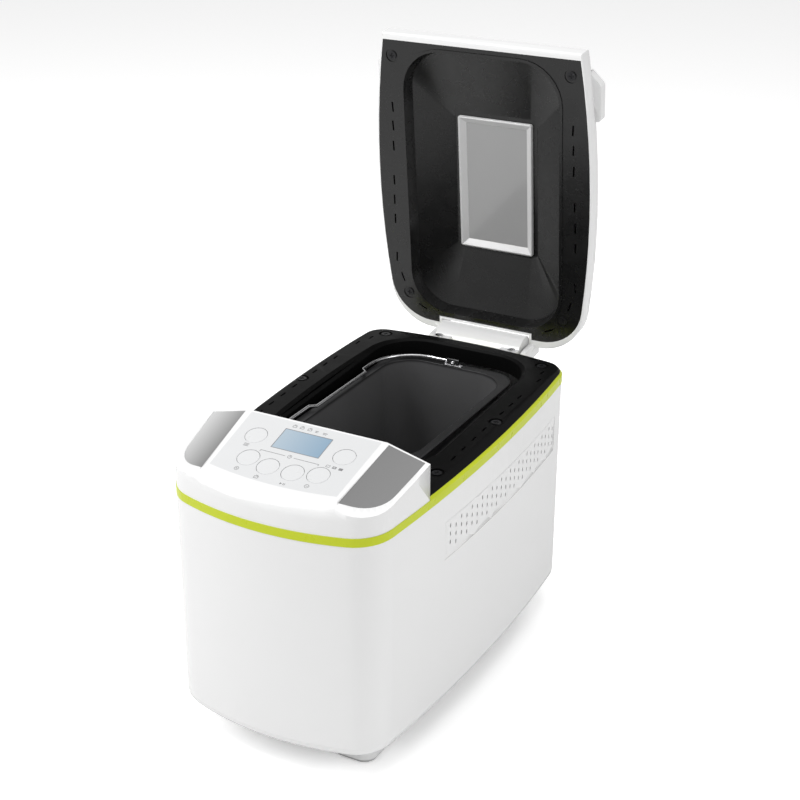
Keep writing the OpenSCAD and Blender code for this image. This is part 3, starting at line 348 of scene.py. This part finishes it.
def wing_lacquer_with_painted_shading(name, inner, outer, side):
    """Silver lacquer with painted shading, from one grey at the wing's inner edge to another at
    its outer edge.
    """
    finish, nodes, links, shader = new_finish(name)
    # Painted shading: the grey is ramped across the wing from its inner to its outer edge.
    near, far = side * WING_INNER, side * WING_OUTER
    painted_shade_ramp = between(nodes, links, coordinate(nodes, links, "X"), 0.0, 1.0, near, far)
    links.new(blend_colours(nodes, links, painted_shade_ramp, inner, outer), shader.inputs["Base Color"])
    flake = cells(nodes, links, 2600)
    emboss(nodes, links, shader, flake, 0.05, LINE_DEPTH)
    uneven = between(nodes, links, flake, 0.28, 0.40, 0.1, 0.9)
    links.new(uneven, shader.inputs["Roughness"])
    shader.inputs["Metallic"].default_value = 0.25
    return finish


def window_glass(name, tint, alpha):
    """Smoked glass over the lid's window."""
    finish, nodes, links, shader = new_finish(name)
    haze = noise(nodes, links, 35, 3)
    links.new(between(nodes, links, haze, 0.05, 0.12), shader.inputs["Roughness"])
    darker = [c * 0.97 for c in tint]
    links.new(blend_colours(nodes, links, haze, darker, tint), shader.inputs["Base Color"])
    shader.inputs["Alpha"].default_value = alpha
    return finish


EVEN = (1, 1, 1)
white = moulded(
    "gloss_white", (0.80, 0.80, 0.80), rough=0.16, relief=0.012, mottle=0.015, coat=0.35
)
# Painted shade: the window frame's white plastic is made darker than the shell's white.
window_white = moulded(
    "window_white", (0.64, 0.64, 0.64), rough=0.2, relief=0.012, mottle=0.015, coat=0.2
)
overlay = moulded(
    "panel_overlay", (0.64, 0.645, 0.65), rough=0.34, grain=1600, relief=0.03, mottle=0.01
)
key_plastic = moulded(
    "key_plastic", (0.65, 0.655, 0.66), rough=0.3, grain=1600, relief=0.02, mottle=0.01
)
green = moulded(
    "yellow_green", (0.54, 0.62, 0.015), rough=0.3, relief=0.015, gloss=0.3, coat=0.1
)
deck_black = moulded(
    "deck_black", (0.004, 0.004, 0.004), rough=0.36, grain=1200, relief=0.04, gloss=0.07
)
liner_black = moulded(
    "liner_black", (0.006, 0.006, 0.006), rough=0.27, grain=1100, relief=0.02, mottle=0.0
)
rubber = moulded(
    "soft_rubber", (0.02, 0.02, 0.02), rough=0.8, grain=500, relief=0.12, gloss=0.2
)
pale_rubber = moulded(
    "pale_rubber", (0.5, 0.5, 0.5), rough=0.7, grain=500, relief=0.12, gloss=0.2
)
cord_black = moulded("gland_black", (0.018, 0.018, 0.018), rough=0.5, relief=0.05)
ink = moulded("print_grey", (0.22, 0.22, 0.225), rough=0.5, grain=2200, relief=0.05)
black_oxide = drawn_metal(
    "black_oxide", (0.03, 0.03, 0.032), rough=0.35, stretch=EVEN, scale=700, metal=0.7
)
steel = drawn_metal("bright_steel", (0.72, 0.72, 0.73), rough=0.16, stretch=(30, 30, 2))
sheet_steel = drawn_metal("sheet_steel", (0.52, 0.52, 0.52), rough=0.32, stretch=(60, 60, 1))
zinc = drawn_metal(
    "zinc_plate", (0.42, 0.44, 0.47), rough=0.38, stretch=EVEN, scale=160, relief=0.1
)
heater = drawn_metal(
    "heated_sheath", (0.13, 0.115, 0.11), rough=0.45, stretch=EVEN, scale=120, metal=0.8
)
bronze = drawn_metal(
    "sintered_bronze", (0.45, 0.28, 0.12), rough=0.45, stretch=EVEN, scale=900, relief=0.15
)
machined = drawn_metal("machined_grey", (0.4, 0.4, 0.38), rough=0.3, stretch=(1, 1, 40))
coating = nonstick_coat("nonstick_coating")
lcd = lcd_with_painted_shading("pale_display_with_painted_shading")
# Painted shading: the same silver lacquer is painted light to dark on the left wing and darker,
# nearly even, on the right wing.
wing_left_painted_shading = wing_lacquer_with_painted_shading("silver_lacquer_left_painted_shading", (0.22, 0.22, 0.22), (0.62, 0.62, 0.62), -1)
wing_right_painted_shading = wing_lacquer_with_painted_shading("silver_lacquer_right_painted_shading", (0.17, 0.17, 0.17), (0.19, 0.19, 0.19), 1)
glass = window_glass("smoked_glass", (0.38, 0.38, 0.38), 0.9)
module_grey = moulded("module_grey", (0.2, 0.2, 0.2), rough=0.5)
solder_mask = moulded(
    "solder_mask", (0.02, 0.13, 0.045), rough=0.35, grain=300, relief=0.08, mottle=0.3
)
nylon = moulded("natural_nylon", (0.68, 0.65, 0.56), rough=0.5, relief=0.05)
case_grey = moulded("capacitor_case", (0.68, 0.68, 0.66), rough=0.45, relief=0.05)
glazed = moulded("glazed_ceramic", (0.68, 0.64, 0.54), rough=0.2, relief=0.04)

FINISHES = {
    "white_shell": white,
    "window_white": window_white,
    "panel_print": overlay,
    "keys": key_plastic,
    "green_band": green,
    "deck_black": deck_black,
    "liner_black": liner_black,
    "black_screw": black_oxide,
    "rubber": rubber,
    "wing_grey": wing_right_painted_shading,
    "display": lcd,
    "module_grey": module_grey,
    "board_green": solder_mask,
    "sheet_steel": sheet_steel,
    "heater": heater,
    "zinc": zinc,
    "bronze": bronze,
    "belt": rubber,
    "capacitor": case_grey,
    "ceramic": glazed,
    "gland_black": cord_black,
    "bright_steel": steel,
    "pulley_plastic": nylon,
    "nonstick": coating,
    "bearing_grey": machined,
    "glass": glass,
}


def paint_slots(node, material):
    if not node.material_slots:
        node.data.materials.append(material)
    for slot in node.material_slots:
        slot.material = material


def finish_nodes():
    """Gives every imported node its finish, before any of them is stood for."""
    for name, node in node_of.items():
        paint_slots(node, FINISHES[slot_of[name]])
    # The left wing gets its own copy of the lacquer with painted shading.
    paint_slots(node_of["wing_inlay_left"], wing_left_painted_shading)
    paint_slots(node_of["foot_pads"], pale_rubber)


# ---- parts with smooth faces ----

def finish_parts():
    for node in (
        "housing_shell", "lid_shell", "base_plate", "control_housing", "vent_panel_left",
        "vent_panel_right", "trim_ring", "window_frame", "cavity_box",
    ):
        finished(node)
    finished("deck_frame", edge=0.35, over=38)
    finished("lid_liner", edge=0.4, over=38)
    finished("pan_body", edge=0.6, steps=3, over=40)
    finished("pan_handle", angle=40)
    finished("hinge_block", edge=0.8, steps=3)
    finished("lid_grips", angle=35)


def finish_keys():
    for name in KEYS:
        finished("button_" + name, angle=35, edge=0.45, steps=3, over=40)


# ---- marks printed on the control panel ----

def flat_bar(width, depth):
    bpy.ops.mesh.primitive_plane_add(size=1)
    bar = bpy.context.active_object
    bar.scale = (width * mm, depth * mm, 1)
    bpy.ops.object.transform_apply(location=False, rotation=False, scale=True)
    return bar


def flat_disc(radius, sides):
    bpy.ops.mesh.primitive_circle_add(vertices=sides, radius=radius * mm, fill_type="NGON")
    return bpy.context.active_object


def outline(piece, line):
    """Leaves a flat piece's outline of this width."""
    open_mesh(piece)
    bpy.ops.mesh.inset(thickness=line * mm)
    bpy.ops.mesh.delete(type="FACE")
    close_mesh()
    return piece


def flat_ring(radius, line):
    return outline(flat_disc(radius, 32), line)


def flat_frame(width, depth, line):
    return outline(flat_bar(width, depth), line)


def mark(piece, x, along, turn=0.0):
    """Lays a flat piece on the control panel."""
    lay = Matrix.Rotation(math.radians(PANEL_SLOPE), 4, "X")
    place = Matrix.Translation((0, -PANEL_FRONT * mm, PANEL_HEIGHT * mm)) @ lay
    local = Matrix.Translation((x * mm, along * mm, INK_LIFT * mm))
    turned = Matrix.Rotation(math.radians(turn), 4, "Z")
    piece.matrix_world = place @ local @ turned @ piece.matrix_world
    return piece


def gather(pieces, name, thickness):
    """Joins flat marks to one printed layer and gives it the ink's thickness."""
    bpy.ops.object.select_all(action="DESELECT")
    for piece in pieces:
        piece.select_set(True)
    bpy.context.view_layer.objects.active = pieces[0]
    bpy.ops.object.transform_apply(location=True, rotation=True, scale=True)
    bpy.ops.object.join()
    layer = bpy.context.active_object
    film = layer.modifiers.new("film", "SOLIDIFY")
    film.thickness = thickness * mm
    film.offset = 1
    bpy.ops.object.modifier_apply(modifier="film")
    return settle(layer, name, "housing", ink)


def print_panel():
    marks = []
    # Programme marks over the display: loaf outlines and two pairs of bars
    for x, along in ((-16, 69.1), (-9.4, 69.3), (-2.3, 69.3)):
        marks.append(mark(flat_frame(3.6, 2.4, 0.4), x, along - 0.4))
        marks.append(mark(flat_bar(2.2, 0.5), x, along + 1.6))
    for x, along, width in ((4.3, 68.5, 3.0), (12.0, 68.2, 4.2)):
        marks.append(mark(flat_bar(width, 0.6), x, along + 0.7))
        marks.append(mark(flat_bar(width * 0.7, 0.6), x, along - 0.7))
    # Bracket under the display, with a clock between its halves
    for x0, x1, along in ((-27.3, -5.1, 34.8), (3.2, 25.8, 34.4)):
        marks.append(mark(flat_bar(x1 - x0, 0.45), (x0 + x1) / 2, along))
    marks.append(mark(flat_bar(0.45, 1.9), -27.3, 34.0))
    marks.append(mark(flat_bar(0.45, 1.9), 25.8, 33.6))
    marks.append(mark(flat_ring(1.9, 0.4), -0.8, 34.9))
    marks.append(mark(flat_bar(0.35, 1.3), -0.8, 35.4))
    marks.append(mark(flat_bar(1.1, 0.35), -0.4, 34.9))
    # Menu lines
    for i in range(3):
        marks.append(mark(flat_bar(4.6, 0.5), -42.0, 36.5 + (i - 1) * 1.3))
    # Plus and minus, each in a ring
    for x in (-33.9, 29.6):
        marks.append(mark(flat_ring(2.0, 0.4), x, 9.2))
        marks.append(mark(flat_bar(1.9, 0.4), x, 9.2))
    marks.append(mark(flat_bar(0.4, 1.9), -33.9, 9.2))
    # Weight
    marks.append(mark(flat_frame(3.8, 2.6, 0.45), -13.6, 5.2))
    marks.append(mark(flat_bar(2.0, 0.5), -13.6, 7.2))
    # Start and pause
    marks.append(mark(flat_disc(1.3, 3), 8.6, 5.2, -90))
    marks.append(mark(flat_bar(0.5, 2.1), 11.0, 5.2))
    marks.append(mark(flat_bar(0.5, 2.1), 12.2, 5.2))
    # Crust: pale, middle and dark
    marks.append(mark(flat_frame(3.4, 2.6, 0.35), 33.6, 35.2))
    marks.append(mark(flat_frame(3.4, 2.6, 0.8), 39.3, 35.1))
    marks.append(mark(flat_bar(3.4, 2.6), 45.0, 34.9))
    gather(marks, "panel_marks", INK_THICKNESS)


def frame_display():
    border = flat_frame(LENS_WIDTH + 2 * BORDER_LINE, LENS_DEPTH + 2 * BORDER_LINE, BORDER_LINE)
    gather([mark(border, 0, LENS_ALONG)], "display_border", BORDER_THICKNESS)


# ---- bread pan ----

def roll_rim():
    """A closed round bead along the edge of the pan's flange."""
    x0, y0 = FLANGE[0] + BEAD_INSET, FLANGE[1] + BEAD_INSET
    x1, y1 = FLANGE[2] - BEAD_INSET, FLANGE[3] - BEAD_INSET
    middle = ((x0 + x1) / 2 * mm, (y0 + y1) / 2 * mm, (RIM_HEIGHT - BEAD_DROP) * mm)
    bpy.ops.mesh.primitive_plane_add(size=1, location=middle)
    bead = bpy.context.active_object
    bead.scale = ((x1 - x0) * mm, (y1 - y0) * mm, 1)
    bpy.ops.object.transform_apply(location=True, rotation=True, scale=True)
    open_mesh(bead, "VERT")
    bpy.ops.mesh.bevel(offset=FLANGE_CORNER * mm, segments=10, affect="VERTICES")
    bpy.ops.mesh.select_all(action="SELECT")
    bpy.ops.mesh.delete(type="ONLY_FACE")
    close_mesh()
    pick(bead)
    bpy.ops.object.convert(target="CURVE")
    bead = bpy.context.active_object
    bead.data.bevel_depth = BEAD_RADIUS * mm
    bead.data.bevel_resolution = 3
    bpy.ops.object.convert(target="MESH")
    bead = bpy.context.active_object
    clean_up(bead, turn_out=True)
    soften(bead, BEAD_SMOOTH)
    settle(bead, "rolled_rim", "pan", coating)


# ---- studio ----

def lay_floor():
    """Pale paper that the camera sees as white."""
    bpy.ops.mesh.primitive_plane_add(size=FLOOR_SIZE, location=FLOOR_MIDDLE)
    floor = bpy.context.active_object
    floor.name = "studio_floor"
    finish, nodes, links, shader = new_finish("pale_floor")
    shader.inputs["Roughness"].default_value = 0.9
    shader.inputs["Specular IOR Level"].default_value = 0.1
    shade = noise(nodes, links, 3, 2)
    paper = blend_colours(nodes, links, shade, (0.88, 0.88, 0.88), (0.90, 0.90, 0.90))
    from_camera = nodes.new("ShaderNodeLightPath").outputs["Is Camera Ray"]
    seen = blend_colours(nodes, links, from_camera, paper, FLOOR_SEEN)
    links.new(seen, shader.inputs["Base Color"])
    paint(floor, finish)


def hang_lamp(name, place, size, power, aim):
    light = bpy.data.lights.new(name, "AREA")
    light.shape = "RECTANGLE"
    light.size, light.size_y = size
    light.energy = power
    lamp = bpy.data.objects.new(name, light)
    bpy.context.scene.collection.objects.link(lamp)
    lamp.location = place
    lamp.rotation_euler = (Vector(aim) - Vector(place)).to_track_quat("-Z", "Y").to_euler()


def light_studio():
    world = bpy.data.worlds.new("studio")
    world.use_nodes = True
    bpy.context.scene.world = world
    sky = world.node_tree.nodes["Background"]
    sky.inputs["Color"].default_value = (1, 1, 1, 1)
    sky.inputs["Strength"].default_value = SKY_STRENGTH
    for lamp in LAMPS:
        hang_lamp(*lamp)


def set_camera():
    view = bpy.data.cameras.new("camera")
    view.sensor_width = SENSOR_WIDTH
    view.lens = FOCAL_LENGTH
    view.clip_end = CLIP_END
    camera = bpy.data.objects.new("camera", view)
    bpy.context.scene.collection.objects.link(camera)
    turn = Matrix((CAMERA_RIGHT, CAMERA_UP, CAMERA_BACK)).transposed().to_4x4()
    camera.matrix_world = Matrix.Translation(CAMERA_PLACE) @ turn
    bpy.context.scene.camera = camera


finish_nodes()
finish_parts()
finish_keys()
print_panel()
frame_display()
roll_rim()
lay_floor()
light_studio()
set_camera()
bpy.context.scene.view_settings.view_transform = "Standard"
